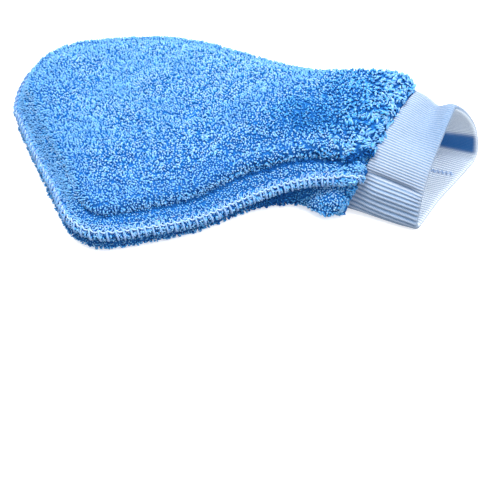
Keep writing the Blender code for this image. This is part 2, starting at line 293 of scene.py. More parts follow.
def points_of(mesh):
    flat = np.zeros(len(mesh.vertices) * 3, np.float32)
    mesh.vertices.foreach_get("co", flat)
    return flat.reshape(-1, 3).astype(float)


def normals_of(mesh):
    flat = np.zeros(len(mesh.vertices) * 3, np.float32)
    mesh.vertex_normals.foreach_get("vector", flat)
    return flat.reshape(-1, 3).astype(float)


def row_centres(node, reach=0.0011):
    """The middle of each little section that a thread's CAD solid was swept through."""
    points = np.unique(points_of(frame["nodes"][node].data).round(6), axis=0)
    left = list(range(len(points)))
    centres = []
    while left:
        near = [i for i in left if np.linalg.norm(points[i] - points[left[0]]) < reach]
        centres.append(points[near].mean(axis=0))
        left = [i for i in left if i not in near]
    return np.array(centres)


def in_order(centres, first):
    """The centres one after another, each the nearest to the one before."""
    left = list(range(len(centres)))
    line = [first]
    left.remove(first)
    while left:
        nearest = min(left, key=lambda i: np.linalg.norm(centres[i] - centres[line[-1]]))
        line.append(nearest)
        left.remove(nearest)
    return centres[line]


class Hem:
    """The overlocked edge, from the far side of the neck round the fingertips to the near side."""

    def __init__(self, step):
        centres = row_centres("edge_needle_thread")
        needle = smooth_line(in_order(centres, int(centres[:, 0].argmax())), step)
        along = unit(np.gradient(needle, axis=0))
        self.level = unit(np.cross(UP, along))
        self.level *= np.sign((self.level * (needle - needle.mean(axis=0))).sum())
        self.outward = self.level * math.cos(HEM_DROOP) - UP * math.sin(HEM_DROOP)
        self.upward = UP * math.cos(HEM_DROOP) + self.level * math.sin(HEM_DROOP)
        self.seam = needle - self.outward * NEEDLE_OFFSET[0] - self.upward * NEEDLE_OFFSET[1]
        rim = points_of(frame["nodes"]["edge_upper_looper_thread"].data)
        tree = KDTree(len(needle))
        for index, point in enumerate(self.seam):
            tree.insert(point, index)
        tree.balance()
        self.tree = tree
        widths = np.zeros(len(needle))
        for point in rim:
            index = self.nearest(point)[0]
            widths[index] = max(widths[index], (point - self.seam[index]) @ self.outward[index])
        known = np.flatnonzero(widths > 0.002)
        self.width = np.interp(np.arange(len(needle)), known, widths[known]) - RIM_THREAD
        smoothing = np.ones(41) / 41
        padded = np.pad(self.width, 20, mode="edge")
        self.width = np.convolve(padded, smoothing, mode="valid") * HEM_TAKE
        self.run = np.r_[0, np.cumsum(np.linalg.norm(np.diff(self.seam, axis=0), axis=1))]

    def nearest(self, point):
        found = self.tree.find(point)
        return found[1], found[2]

    def at(self, run, outward, upward):
        """The point a given run along the edge, then out and up from the seam."""
        def read(values):
            return np.stack([np.interp(run, self.run, values[:, axis]) for axis in range(3)], axis=-1)
        return (read(self.seam) + unit(read(self.outward)) * np.asarray(outward)[..., None]
                + unit(read(self.upward)) * np.asarray(upward)[..., None])

    def wide(self, run):
        return np.interp(run, self.run, self.width)

    def beside(self, points):
        """For each point: how far in from the seam it lies, and the level way out of it."""
        index = np.array([self.nearest(point)[0] for point in points])
        inward = -((points - self.seam[index]) * self.level[index]).sum(axis=1)
        return inward, self.level[index]


hem = Hem(0.0005)
cuff_low, cuff_high = [np.array(corner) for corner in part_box("rib_cuff")]
hinge = np.array(frame["joints"][0]["pos_m"], float)
CUFF_HEADING = math.radians(-24.0)
cuff_along = np.array((math.cos(CUFF_HEADING), math.sin(CUFF_HEADING), 0.0))
cuff_across = np.array((-cuff_along[1], cuff_along[0], 0.0))
NECK_TILT = math.radians(18.0)        # the neck seam leans back towards the table
NECK_BEND = 0.007                     # pieces this close to the neck seam are left unattached
neck_normal = cuff_along * math.cos(NECK_TILT) - UP * math.sin(NECK_TILT)
TABLE_CLEARANCE = 0.0012      # the underside is lifted a little where it bends


def before_neck(points):
    """How far each point lies from the plane of the neck seam, towards the fingertips."""
    return (hinge - points) @ neck_normal


def near_side(level):
    """One along the near side of the edge, where it is pulled flat, and none round the rest."""
    return np.clip((-level[:, 1] - 0.30) / 0.45, 0, 1)


def sculpt(points, normals):
    """The lie of the cloth: broad waves, small dimples and the gathers that run from the cuff."""
    inward, level = hem.beside(points)
    free = np.clip((np.abs(inward) - 0.004) / 0.016, 0, 1)
    neck = np.clip(1 - before_neck(points) / NECK_REACH, 0, 1) ** 1.6
    swell = (0.0009 * drift(points, 0.060, 3) + 0.0006 * drift(points, 0.022, 4)
             + 0.00025 * drift(points, 0.009, 5))
    across = points @ cuff_across + 0.25 * points[:, 2]
    fold = np.sin(2 * math.pi * across / GATHER_WAVE + 1.6 * drift(points, 0.05, 6))
    above = normals @ UP > -0.2
    roll = above * (ROLL_HEIGHT * np.exp(-((inward - 0.0068) / 0.0028) ** 2)
                    - GROOVE_DEPTH * near_side(level) * np.exp(-((inward - 0.0028) / 0.0014) ** 2))
    collar = above * COLLAR_HEIGHT * np.exp(-((before_neck(points) - 0.008) / 0.006) ** 2)
    moved = points + normals * (swell * free + GATHER_HEIGHT * fold * neck + roll + collar)[:, None]
    in_edge = np.clip(-inward / math.cos(HEM_DROOP), 0, None)
    level_out = level * math.cos(HEM_DROOP) - UP * math.sin(HEM_DROOP)
    return moved - level_out * (in_edge * (1 - HEM_TAKE))[:, None]


def cloth_from(node, name, levels, bed_depth):
    """A merged, smoothed copy of a panel's CAD shell, with its cloth's lie sculpted in."""
    piece = bpy.data.objects.new(name, frame["nodes"][node].data.copy())
    bpy.context.scene.collection.objects.link(piece)
    pick(piece)
    bpy.ops.object.mode_set(mode="EDIT")
    bpy.ops.mesh.select_all(action="SELECT")
    bpy.ops.mesh.remove_doubles(threshold=0.00002)
    bpy.ops.mesh.tris_convert_to_quads(face_threshold=math.pi, shape_threshold=math.pi)
    bpy.ops.object.mode_set(mode="OBJECT")
    rounding = piece.modifiers.new("rounding", "SUBSURF")
    rounding.levels = rounding.render_levels = levels
    bpy.ops.object.modifier_apply(modifier="rounding")
    piece.data.materials.clear()
    points, normals = points_of(piece.data), normals_of(piece.data)
    points = sculpt(points, normals)
    inward, level = hem.beside(points)
    bed = bed_depth * np.clip(inward / 0.004, 0, 1)
    points -= normals * bed[:, None]
    points[:, 2] = np.maximum(points[:, 2], 0.0)
    bending = np.exp(-(before_neck(points) / 0.012) ** 2) * np.clip(1 - points[:, 2] / 0.014, 0, 1)
    points[:, 2] += TABLE_CLEARANCE * bending
    piece.data.vertices.foreach_set("co", points.astype(np.float32).ravel())
    piece.data.update()
    pick(piece)
    bpy.ops.object.shade_smooth()
    return piece


def spread_over(piece, gap, seed, wanted):
    """Even scattered places on the wanted side of a cloth: points, normals and their faces."""
    rng = np.random.default_rng(seed)
    mesh = piece.data
    mesh.calc_loop_triangles()
    corners = np.zeros(len(mesh.loop_triangles) * 3, np.int32)
    mesh.loop_triangles.foreach_get("vertices", corners)
    corners = corners.reshape(-1, 3)
    points, normals = points_of(mesh), normals_of(mesh)
    middles = points[corners].mean(axis=1)
    facing = unit(normals[corners].sum(axis=1))
    corners = corners[wanted(middles, facing)]
    first, second, third = [points[corners[:, i]] for i in range(3)]
    areas = np.linalg.norm(np.cross(second - first, third - first), axis=1) / 2
    count = int(areas.sum() / gap ** 2 * 4.5)
    chosen = rng.choice(len(corners), count, p=areas / areas.sum())
    u, v = rng.random(count), rng.random(count)
    over = u + v > 1
    u[over], v[over] = 1 - u[over], 1 - v[over]
    shares = np.stack([1 - u - v, u, v], axis=1)[:, :, None]
    places = (points[corners[chosen]] * shares).sum(axis=1)
    facing = unit((normals[corners[chosen]] * shares).sum(axis=1))
    tree = KDTree(count)
    for index, place in enumerate(places):
        tree.insert(place, index)
    tree.balance()
    kept = np.ones(count, bool)
    for index in range(count):
        if kept[index]:
            for found in tree.find_range(places[index], gap * 0.82):
                if found[1] > index:
                    kept[found[1]] = False
    return places[kept], facing[kept]


def model_lock():
    """One straight curl of pile, a unit long: a three-sided spindle drawn out of a disc."""
    deselect()
    bpy.ops.mesh.primitive_circle_add(vertices=3, radius=0.62, fill_type="NGON")
    bpy.ops.object.mode_set(mode="EDIT")
    bpy.ops.mesh.select_all(action="SELECT")
    for step, widening in ((0.42, 1.45), (0.34, 1.0), (0.24, 0.48)):    # shares of its length
        bpy.ops.mesh.extrude_region_move(TRANSFORM_OT_translate={"value": (0, 0, step)})
        bpy.ops.transform.resize(value=(widening, widening, 1))
    bpy.ops.mesh.select_all(action="SELECT")
    bpy.ops.mesh.normals_make_consistent(inside=False)
    bpy.ops.object.mode_set(mode="OBJECT")
    made = bpy.context.object
    points = points_of(made.data)
    faces = [tuple(face.vertices) for face in made.data.polygons]
    bpy.data.objects.remove(made)
    return points, faces


LOCK_POINTS, LOCK_FACES = model_lock()


def mesh_of(name, points, faces):
    mesh = bpy.data.meshes.new(name)
    mesh.from_pydata([tuple(point) for point in points], [], faces)
    mesh.update()
    piece = bpy.data.objects.new(name, mesh)
    bpy.context.scene.collection.objects.link(piece)
    mesh.shade_smooth()
    return piece


def paint(piece, name, values):
    """A colour attribute on the points: up to four numbers that a finish reads."""
    made = piece.data.color_attributes.new(name, "FLOAT_COLOR", "POINT")
    colours = np.ones((len(piece.data.vertices), 4), np.float32)
    colours[:, :values.shape[1]] = values
    made.data.foreach_set("color", colours.ravel())


def pile(name, places, facing, height, width, comb, light, seed):
    """Locks of pile on the given places, each leaning as the comb says and curled at random."""
    rng = np.random.default_rng(seed)
    count, rings = len(places), LOCK_POINTS[:, 2]
    lean = comb - facing * (comb * facing).sum(axis=1)[:, None]
    strength = np.minimum(np.linalg.norm(lean, axis=1), 1.2)[:, None]
    lean = unit(lean)
    side = np.cross(facing, lean)
    turn = rng.uniform(0, 2 * math.pi, count)[:, None]
    tall = (height * rng.uniform(0.78, 1.18, count))[:, None]
    wide = (width * rng.uniform(0.8, 1.2, count))[:, None]
    curl = rng.uniform(-0.35, 0.35, count)[:, None]
    u = rings[None, :]
    up = tall * (u - 0.30 * strength * u ** 2)
    out = tall * 0.85 * strength * u ** 2
    aside = tall * curl * np.sin(math.pi * 0.8 * u)
    cos, sin = np.cos(turn), np.sin(turn)
    x = wide * (LOCK_POINTS[:, 0] * cos - LOCK_POINTS[:, 1] * sin)
    y = wide * (LOCK_POINTS[:, 0] * sin + LOCK_POINTS[:, 1] * cos)
    slope = np.minimum(1.1 * strength * u, 1.2)
    points = (places[:, None] - facing[:, None] * ROOT_DEPTH
              + facing[:, None] * (up - x * np.sin(slope))[..., None]
              + lean[:, None] * (out + x * np.cos(slope))[..., None]
              + side[:, None] * (aside + y)[..., None])
    points[..., 2] = np.maximum(points[..., 2], 0.0002 + 0.0004 * rng.random((count, 1)))
    size = len(rings)
    faces = [tuple(corner + index * size for corner in face)
             for index in range(count) for face in LOCK_FACES]
    piece = mesh_of(name, points.reshape(-1, 3), faces)
    tint = np.repeat(rng.random(count), size)
    shade = np.repeat(0.5 + 0.18 * drift(places, 0.035, 11) + light, size)
    paint(piece, "pile", np.stack([np.tile(rings, count), tint, shade], axis=1))
    return piece


def comb_over(places, seed):
    """Which way the locks lean: small swirls, with smaller ones on top of them."""
    ways = np.stack([drift(places, 0.0075, seed + i) for i in range(3)], axis=1) * 0.30
    ways += np.stack([drift(places, 0.003, seed + 3 + i) for i in range(3)], axis=1) * 0.35
    return ways


pile_finish = Finish("curly_plush_blue", 0.85, sheen=0.04)
pile_parts = pile_finish.node("ShaderNodeAttribute", {"attribute_name": "pile"})
pile_split = pile_finish.node("ShaderNodeSeparateColor", None, {"Color": pile_parts.outputs["Color"]})
pile_rise = Strand(pile_finish, pile_split.outputs[0])
pile_tint = Strand(pile_finish, pile_split.outputs[1])
pile_shade = Strand(pile_finish, pile_split.outputs[2])
fibre = pile_finish.noise(pile_finish.place(), 900.0, 2.0)
# The shade channel paints light and shade: above its middle the pile is painted lighter and flatter,
# below it painted darker.
painted_light = ((pile_shade - 0.55) * 1.8).clamp()
painted_shade = pile_shade.math("MAXIMUM", 0.5 - pile_shade, 0.0)
lightness = (pile_rise * (1.00 - painted_light * 0.66) + painted_light * 0.46 - painted_shade * 0.42
             + (pile_tint - 0.5) * (0.45 - painted_light * 0.30) + (fibre - 0.5) * 0.20).clamp()
# The ramp paints shade at the locks' roots and highlights at their tips, over the blue of the plush.
pile_stops = [(0.10, PILE_ROOT), (0.50, PILE_BODY), (0.84, PILE_TIP), (0.99, PILE_PALE)]
pile_ramp = pile_finish.node("ShaderNodeValToRGB", {"stops": pile_stops}, {"Fac": lightness})
pile_finish.colour(pile_ramp.outputs[0])
pile_finish.bump(fibre, 0.35, 0.0004)
pile_finish.shader.inputs["Sheen Tint"].default_value = (0.75, 0.88, 1.0, 1.0)
pile_finish.shader.inputs["Specular IOR Level"].default_value = 0.08

# The backing's blue is made dark: painted shade where it shows deep between the locks and at the seams.
backing_finish = Finish("plush_backing_blue", 0.9)
backing_finish.shader.inputs["Specular IOR Level"].default_value = 0.1
backing_knit = backing_finish.noise(backing_finish.place(), 1300.0, 1.0)
backing_finish.colour(backing_finish.mix(backing_knit, (0.010, 0.095, 0.34), BACKING_BLUE))
backing_finish.bump(backing_knit, 0.5, 0.0005)

back_cloth = cloth_from("back_panel", "back_cloth", 2, PILE_BED)
back_cloth.data.materials.append(backing_finish.material)


def back_outside(middles, facing):
    inward, level = hem.beside(middles)
    out = facing[:, 2] + 0.7 * (facing * level).sum(axis=1)
    # Near the neck the pile goes further out past the seam.
    reach = 0.0016 + 0.0060 * np.clip(1.6 - before_neck(middles) / 0.012, 0, 1)
    return (out > 0.05) & (inward > -reach) & (before_neck(middles) > 0.0018)


def to_clumps(places, seed):
    """From each place towards the middle of its clump, about one long at a clump's border."""
    rng = np.random.default_rng(seed)
    middles = places[rng.choice(len(places), int(len(places) * (PILE_GAP / CLUMP_GAP) ** 2))]
    tree = KDTree(len(middles))
    for index, middle in enumerate(middles):
        tree.insert(middle, index)
    tree.balance()
    nearest = np.array([tree.find(place)[0] for place in places])
    return (nearest - places) / (CLUMP_GAP * 0.6)


# A band of painted light runs across the back along this line.
RIDGE_PLACE = np.array((0.0198, 0.0020, 0.052))
RIDGE_ACROSS = np.array((0.62, -0.78, 0.0))


def back_light(places, facing):
    """Painted light and shade on the back's pile: lighter towards the fingertips, on a ridge, the
    collar, the roll and the seam; painted shade on front-facing slopes by the cuff and in the near
    groove.
    """
    inward, level = hem.beside(places)
    away = np.clip((0.03 - places[:, 0]) / 0.11, 0, 1)
    away *= np.clip(0.75 + 2.0 * facing[:, 1], 0.25 + 0.5 * np.clip(-places[:, 0] / 0.08 - 0.4, 0, 1), 1)
    toward = np.clip((places[:, 0] + 0.02) / 0.06, 0, 1) * np.clip(0.75 - 2.2 * facing[:, 1], 0, 1)
    collar = np.exp(-((before_neck(places) - 0.004) / 0.010) ** 2)
    pulled = near_side(level)
    across = (places - RIDGE_PLACE) @ RIDGE_ACROSS
    ridge = np.exp(-(across / 0.010) ** 2) * np.clip((places[:, 1] + 0.03) / 0.02, 0, 1)
    return (0.55 * away + 0.80 * ridge - 0.75 * toward * (1 - collar) * (1 - ridge) + 0.15 * collar
            + (0.40 + 0.60 * pulled) * np.exp(-((inward - 0.0095) / 0.0050) ** 2)
            - 2.2 * pulled * np.exp(-((inward - 0.0033) / 0.0010) ** 2)
            + 0.9 * np.clip((0.0024 - inward) / 0.0008, 0, 1))


def lay_pile(cloth, name, wanted, gap, light_of, clumping, seed):
    """Covers one side of a panel with pile, in pieces from the fingertips to the neck."""
    places, facing = spread_over(cloth, gap, seed, wanted)
    neck = np.clip(1 - before_neck(places) / NECK_REACH, 0, 1)
    inward, level = hem.beside(places)
    inside = np.clip((inward - 0.0020) / 0.0030, 0, 1)
    lip = np.exp(-(before_neck(places) / 0.0065) ** 2)
    comb = comb_over(places, seed + 20)
    comb += level * (0.3 * (1 - inside))[:, None]
    comb += cuff_along * (neck ** 2 * 0.5 - 0.8 * lip)[:, None]
    comb += to_clumps(places, seed) * (0.10 + clumping * neck ** 1.3 * inside)[:, None]
    comb += np.stack([drift(places, 0.011, seed + 40 + i) for i in range(3)], axis=1) * neck[:, None]
    height = PILE_HEIGHT * (1 + 0.65 * neck ** 1.5 * inside * (1 - 0.5 * lip)) * (0.75 + 0.25 * inside)
    height *= np.where(facing[:, 2] < 0.2, 1.35, 1.0)
    height *= 1 + 0.12 * drift(places, 0.006, seed + 9)
    width = LOCK_WIDTH * gap / PILE_GAP * (1 + 0.25 * neck)
    light = light_of(places, facing)
    order = np.argsort(places[:, 0], kind="stable")
    parts = max(1, math.ceil(len(order) / LOCKS_PER_PIECE))
    made = []
    for part, group in enumerate(np.array_split(order, parts)):
        piece = pile(f"{name}_{part + 1}", places[group], facing[group], height[group],
                     width[group], comb[group], light[group], seed + 60 + part)
        piece.data.materials.append(pile_finish.material)
        made.append(piece)
    return made


back_pile = lay_pile(back_cloth, "back_pile", back_outside, PILE_GAP, back_light, 0.75, 100)


def join_across_neck(piece):
    """A pouch piece that comes close to the neck is left unattached; the others go with the pouch."""
    if before_neck(points_of(piece.data)).min() < NECK_BEND:
        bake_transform(piece)
    else:
        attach(piece, "pouch")


for piece in [back_cloth] + back_pile:
    join_across_neck(piece)
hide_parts("back_panel")


# ---- palm panel --------------------------------------------------------------------------------
# The half that lies on the table, of the same plush. It swells out under the overlocked edge and
# is bunched beside the cuff, where its pile is crushed into folds.
PALM_BED = 0.0016             # the palm's pile is crushed, so its backing lies deeper
palm_cloth = cloth_from("palm_panel", "palm_cloth", 2, PALM_BED)
palm_cloth.data.materials.append(backing_finish.material)


def palm_sides(middles, facing):
    inward, level = hem.beside(middles)
    out = (facing * level).sum(axis=1)
    under = (facing[:, 2] < -0.6) & (middles[:, 2] < 0.004)
    return (((out > 0.12) & (facing[:, 2] < 0.9)) & ~under
            & (np.abs(before_neck(middles)) > 0.0008))


def palm_underside(middles, facing):
    inward, level = hem.beside(middles)
    return (facing[:, 2] < -0.6) & (middles[:, 2] < 0.004)


def palm_light(places, facing):
    """Painted shade on the palm's pile: darker all over, more towards the cuff, most of all up under the
    edge.
    """
    inward, level = hem.beside(places)
    bunched = np.clip(1 - before_neck(places) / 0.05, 0, 1)
    tucked = np.exp(-((before_neck(places) - 0.040) / 0.014) ** 2) * np.clip(-places[:, 1] / 0.02, 0, 1)
    return (-0.25 - 0.15 * bunched - 0.80 * tucked
            - 0.60 * np.exp(-((inward - 0.001) / 0.005) ** 2))


palm_pile = lay_pile(palm_cloth, "palm_pile", palm_sides, PILE_GAP, palm_light, 0.55, 200)
palm_pile += lay_pile(palm_cloth, "palm_under_pile", palm_underside, PILE_GAP * 1.8, palm_light,
                      0.35, 300)
for piece in [palm_cloth] + palm_pile:
    join_across_neck(piece)
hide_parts("palm_panel")


# ---- overlocked edge: upper looper thread --------------------------------------------------------
# Bulked nylon that lies in loops on top of the edge. The loops hook back on each other, so a
# pale scalloped chain runs along the middle of the edge.
PITCH = 0.0040                # from one stitch to the next
CHAIN_THICK = 0.00046         # radius of the chain
LOOP_THICK = 0.00034
LOOP_REACH = 0.0022           # how far in from the chain the loops reach
CHAIN_PLACE = 0.56            # share of the edge's width, out from the seam
CHAIN_RISE = 0.0034
THREAD_PALE = (0.62, 0.76, 0.93)
THREAD_WARM = (0.70, 0.74, 0.93)
THREAD_SHADE = (0.23, 0.45, 0.80)
LOOP_PALE = (0.40, 0.61, 0.89)
LOOP_WARM = (0.56, 0.61, 0.88)
LOOP_SHADE = (0.10, 0.34, 0.73)


def thread(name, paths, thick, finish, sides=6):
    """Soft thread along each path: one curve of many lines, made a mesh."""
    line = bpy.data.curves.new(name, "CURVE")
    line.dimensions = "3D"
    line.bevel_depth = thick
    line.bevel_resolution = max(0, sides // 2 - 2)
    line.use_fill_caps = True
    for path in paths:
        spline = line.splines.new("POLY")
        spline.points.add(len(path) - 1)
        spline.points.foreach_set("co", np.c_[path, np.ones(len(path))].ravel())
    piece = bpy.data.objects.new(name, line)
    bpy.context.scene.collection.objects.link(piece)
    pick(piece)
    bpy.ops.object.convert(target="MESH")
    piece = bpy.context.object
    bpy.ops.object.shade_smooth()
    piece.data.materials.clear()
    piece.data.materials.append(finish.material)
    return piece


def resting_on(cloth, path, lift):
    """The path, raised wherever the cloth and its pile would otherwise hide it."""
    rested = np.array(path)
    for point in rested:
        above_it = Vector((point[0], point[1], 0.08))
        found, spot, facing, face = cloth.ray_cast(above_it, Vector((0, 0, -1)))
        if found and facing.z > 0.3:
            point[2] = max(point[2], spot.z + lift)
    return rested


def thread_look(name, pale, warm, shade):
    """Fluffy thread: pale strands, lilac in patches, with darker gaps between them."""
    finish = Finish(name, 0.75, sheen=0.1)
    finish.shader.inputs["Specular IOR Level"].default_value = 0.2
    strands = finish.noise(finish.place(), 1500.0, 2.0)
    patch = finish.noise(finish.place(), 120.0, 1.0)
    tone = finish.mix(patch, pale, warm)
    finish.colour(finish.mix((strands * 1.6 - 0.45).clamp(), shade, tone))
    finish.bump(strands, 0.6, 0.0004)
    return finish


thread_finish = thread_look("bulked_thread_pale", THREAD_PALE, THREAD_WARM, THREAD_SHADE)
loop_finish = thread_look("bulked_thread_blue", LOOP_PALE, LOOP_WARM, LOOP_SHADE)


def seen_from_near(run):
    """One along the near side of the edge; less round the fingertips, where pile hides it."""
    level = np.stack([np.interp(run, hem.run, hem.level[:, axis]) for axis in range(3)], axis=-1)
    return near_side(np.atleast_2d(level))


stitches = np.arange(0.006, hem.run[-1] - 0.004, PITCH)
stitch_rng = np.random.default_rng(41)
stitches = stitches + stitch_rng.uniform(-0.0005, 0.0005, len(stitches))
chain_run = np.arange(0.004, hem.run[-1] - 0.002, 0.0005)
chain_wave = np.sin(math.pi * (chain_run % PITCH) / PITCH)
chain_place = hem.wide(chain_run) * CHAIN_PLACE + 0.0011 * chain_wave
chain_path = hem.at(chain_run, chain_place, CHAIN_RISE - 0.0003 * chain_wave)
chain_path = resting_on(back_cloth, chain_path, 0.0013)
chain_path -= UP * 0.0015 * (1 - seen_from_near(chain_run))[:, None]
edge_chain = thread("edge_chain", [chain_path], CHAIN_THICK, thread_finish)
loop_paths = []
for run in stitches:
    share = np.linspace(0, 1, 13)
    width = float(hem.wide(run))
    arch = np.sin(math.pi * share) ** 0.7
    reach = width * CHAIN_PLACE - arch * LOOP_REACH * stitch_rng.uniform(0.7, 1.2)
    sway = (share - 0.5) * PITCH * 0.42 + arch * 0.0007
    loop_path = hem.at(run + sway, reach, CHAIN_RISE - 0.0002 - 0.0009 * arch)
    sunk = UP * 0.0018 * (1 - seen_from_near(run))
    loop_paths.append(resting_on(back_cloth, loop_path, 0.0010) - sunk)
edge_loops = thread("edge_upper_loops", loop_paths, LOOP_THICK, loop_finish)
for piece in (edge_chain, edge_loops):
    join_across_neck(piece)
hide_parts("edge_upper_looper_thread")


# ---- overlocked edge: lower looper thread --------------------------------------------------------
# The same bulked nylon, carried from the chain out over the cut edge and back underneath, one
# wrap to a stitch, with the plush puffing out between the wraps.
WRAP_THICK = 0.00062
wrap_paths = []
for run in stitches + PITCH * 0.45:
    width = float(hem.wide(run))
    turn = np.linspace(0, 1, 17)
    outward = np.interp(turn, [0, .18, .38, .5, .62, .82, 1],
                        np.array([CHAIN_PLACE, .72, 1.0, 1.06, 1.0, .6, .25]) * width
                        + np.array([0, 0, .0003, .0008, .0003, 0, 0]))
    upward = np.interp(turn, [0, .18, .38, .5, .62, .82, 1],
                       [CHAIN_RISE, .0033, .0021, 0.0, -.0021, -.0026, -.0022])
    slant = (turn - 0.3) * PITCH * stitch_rng.uniform(0.35, 0.75)
    wrap_paths.append(hem.at(run + slant, outward, upward))
edge_wraps = thread("edge_wraps", wrap_paths, WRAP_THICK, loop_finish)
join_across_neck(edge_wraps)
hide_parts("edge_lower_looper_thread")


# ---- overlocked edge: needle thread ----------------------------------------------------------------
# The straight row of stitches that holds both panels, sunk in the groove at the inner side of
# the edge. Each stitch is a short thread that dips through the cloth at both ends.
NEEDLE_THICK = 0.00032
needle_paths = []
for run in stitches:
    share = np.linspace(0, 1, 7)
    dip = np.sin(math.pi * share)
    needle_paths.append(hem.at(run + share * PITCH * 0.9, 0.0006 + 0 * share, 0.0016 + 0.0009 * dip))
edge_needle = thread("edge_needle_stitches", needle_paths, NEEDLE_THICK, thread_finish)
join_across_neck(edge_needle)
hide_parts("edge_needle_thread")


# ---- plush in the overlocked edge ------------------------------------------------------------------
# The cut pile of both panels is caught under the threads, so short flattened locks fill the edge
# between the wraps and ragged ends stick out past them.
hem_rng = np.random.default_rng(57)
HEM_PILE_GAP = 0.00110
HEM_ROUND = 0.017             # the way round the edge, from the seam over and back under
count = int(hem.run[-1] * HEM_ROUND / (HEM_PILE_GAP ** 2))
run = hem_rng.uniform(0.001, hem.run[-1] - 0.001, count)
width = hem.wide(run)
round_the_edge = hem_rng.uniform(0, 1, count)
across = np.interp(round_the_edge, [0, .42, .5, .58, 1], [0.15, .96, 1.02, .96, 0.2]) * width
above = np.interp(round_the_edge, [0, .42, .5, .58, 1],
                  np.array([1, .95, 0, -.95, -1]) * HEM_THICKNESS)
tilt = np.interp(round_the_edge, [0, .40, .5, .60, 1], [0.0, 0.3, 1.57, 2.84, 3.14])
hem_places = hem.at(run, across, above)
on_top = above > 0.0008
hem_places[on_top] = resting_on(back_cloth, hem_places[on_top], -0.0001)
step_out = unit(hem.at(run, across + 0.001, above) - hem_places)
step_up = unit(hem.at(run, across, above + 0.001) - hem_places)
hem_facing = step_up * np.cos(tilt)[:, None] + step_out * np.sin(tilt)[:, None]
hem_comb = comb_over(hem_places, 700) * 1.4 + step_out * 0.55
hem_height = 0.0011 + 0.0006 * np.sin(math.pi * ((run / PITCH) % 1.0)) ** 2
hem_height = hem_height * (1 + 0.2 * drift(hem_places, 0.01, 71))
# Painted shade on the edge's pile underneath it; on top, the outer half is lighter than the inner.
hem_light = np.where(above > -0.0010, np.where(across > 0.6 * width, 0.22, -0.02), -0.6)
hem_order = np.argsort(run, kind="stable")
hem_pile = []
for part, group in enumerate(np.array_split(hem_order, math.ceil(count / LOCKS_PER_PIECE))):
    piece = pile(f"edge_pile_{part + 1}", hem_places[group], hem_facing[group],
                 hem_height[group], np.full(len(group), LOCK_WIDTH), hem_comb[group],
                 hem_light[group], 90 + part)
    piece.data.materials.append(pile_finish.material)
    join_across_neck(piece)
    hem_pile.append(piece)


# ---- rib cuff --------------------------------------------------------------------------------------
# A tube of pale 1x1 rib knit folded double, with a smooth folded rim at the mouth. The ribs run
# along it; it is creased along its near side and dented on top.
# The real strip is cut to 0.205 x 0.100 and folded double. This mesh leaves out the fold's two
# hidden faces, so it holds half of that cloth and is declared at half the length: not the true cut.
RIBS = 128
POINTS_PER_RIB = 8
CUFF_STEPS = 40
RIB_HEIGHT = 0.00045
CUFF_WALL = 0.0030
SEAM_BITE = 0.0030            # how far the cuff runs back under the plush
RIM_ROUND = 0.0016            # the ribs fade a little over this length at the folded rim
KNIT_LOOP = 0.0009            # one loop of the knit, along a rib
CUFF_PALE = (0.47, 0.535, 0.65)
# The groove colour is painted shade between the ribs and below the near crease.
CUFF_GROOVE_SHADE = (0.05, 0.17, 0.36)
# The knit's inner face is painted lighter than its outer face: painted light.
CUFF_INSIDE_LIT = (0.80, 0.88, 0.97)
CUFF_GLOW = 0.14                  # the inner face glows: painted light, standing in for light through the thin knit
CUFF_THROAT = (0.008, 0.15, 0.46)    # painted shade deep in the mouth, in the blue of the pouch
# The neck and the rim, going round from the near crease over the top, as shares of the cuff's box.
# They were read off the CAD cuff's end rings, so they have to be read again if its shape changes.
NECK_SHARES = [
    (0.122, 0.221, 0.502), (0.146, 0.241, 0.611), (0.181, 0.290, 0.691), (0.220, 0.345, 0.759),
    (0.262, 0.402, 0.818), (0.305, 0.462, 0.870), (0.350, 0.524, 0.915), (0.395, 0.587, 0.953),
    (0.442, 0.652, 0.982), (0.490, 0.718, 1.000), (0.507, 0.778, 0.930), (0.518, 0.817, 0.828),
    (0.526, 0.846, 0.719), (0.532, 0.868, 0.606), (0.537, 0.875, 0.489), (0.529, 0.881, 0.375),
    (0.494, 0.909, 0.276), (0.453, 0.942, 0.183), (0.405, 0.980, 0.102), (0.350, 1.000, 0.019),
    (0.314, 0.933, 0.000), (0.290, 0.855, 0.000), (0.260, 0.780, 0.000), (0.221, 0.707, 0.000),
    (0.182, 0.635, 0.000), (0.145, 0.563, 0.000), (0.109, 0.489, 0.000), (0.073, 0.416, 0.000),
    (0.039, 0.341, 0.000), (0.009, 0.266, 0.009), (0.000, 0.199, 0.067), (0.028, 0.191, 0.177),
    (0.059, 0.199, 0.285), (0.091, 0.210, 0.394)]
RIM_SHARES = [
    (0.510, 0.056, 0.420), (0.528, 0.094, 0.517), (0.550, 0.138, 0.606), (0.577, 0.192, 0.683),
    (0.604, 0.248, 0.753), (0.633, 0.307, 0.818), (0.664, 0.368, 0.877), (0.695, 0.432, 0.929),
    (0.728, 0.498, 0.972), (0.762, 0.566, 1.000), (0.816, 0.606, 0.933), (0.859, 0.639, 0.849),
    (0.898, 0.668, 0.757), (0.931, 0.694, 0.659), (0.959, 0.715, 0.555), (0.979, 0.729, 0.446),
    (0.993, 0.752, 0.338), (1.003, 0.776, 0.230), (1.008, 0.791, 0.118), (0.986, 0.765, 0.021),
    (0.941, 0.701, 0.000), (0.895, 0.635, 0.000), (0.849, 0.570, 0.000), (0.803, 0.504, 0.000),
    (0.756, 0.439, 0.000), (0.709, 0.374, 0.000), (0.665, 0.307, 0.000), (0.625, 0.238, 0.000),
    (0.585, 0.169, 0.000), (0.545, 0.100, 0.000), (0.505, 0.031, 0.007), (0.482, -0.006, 0.091),
    (0.487, 0.008, 0.204), (0.498, 0.031, 0.313)]


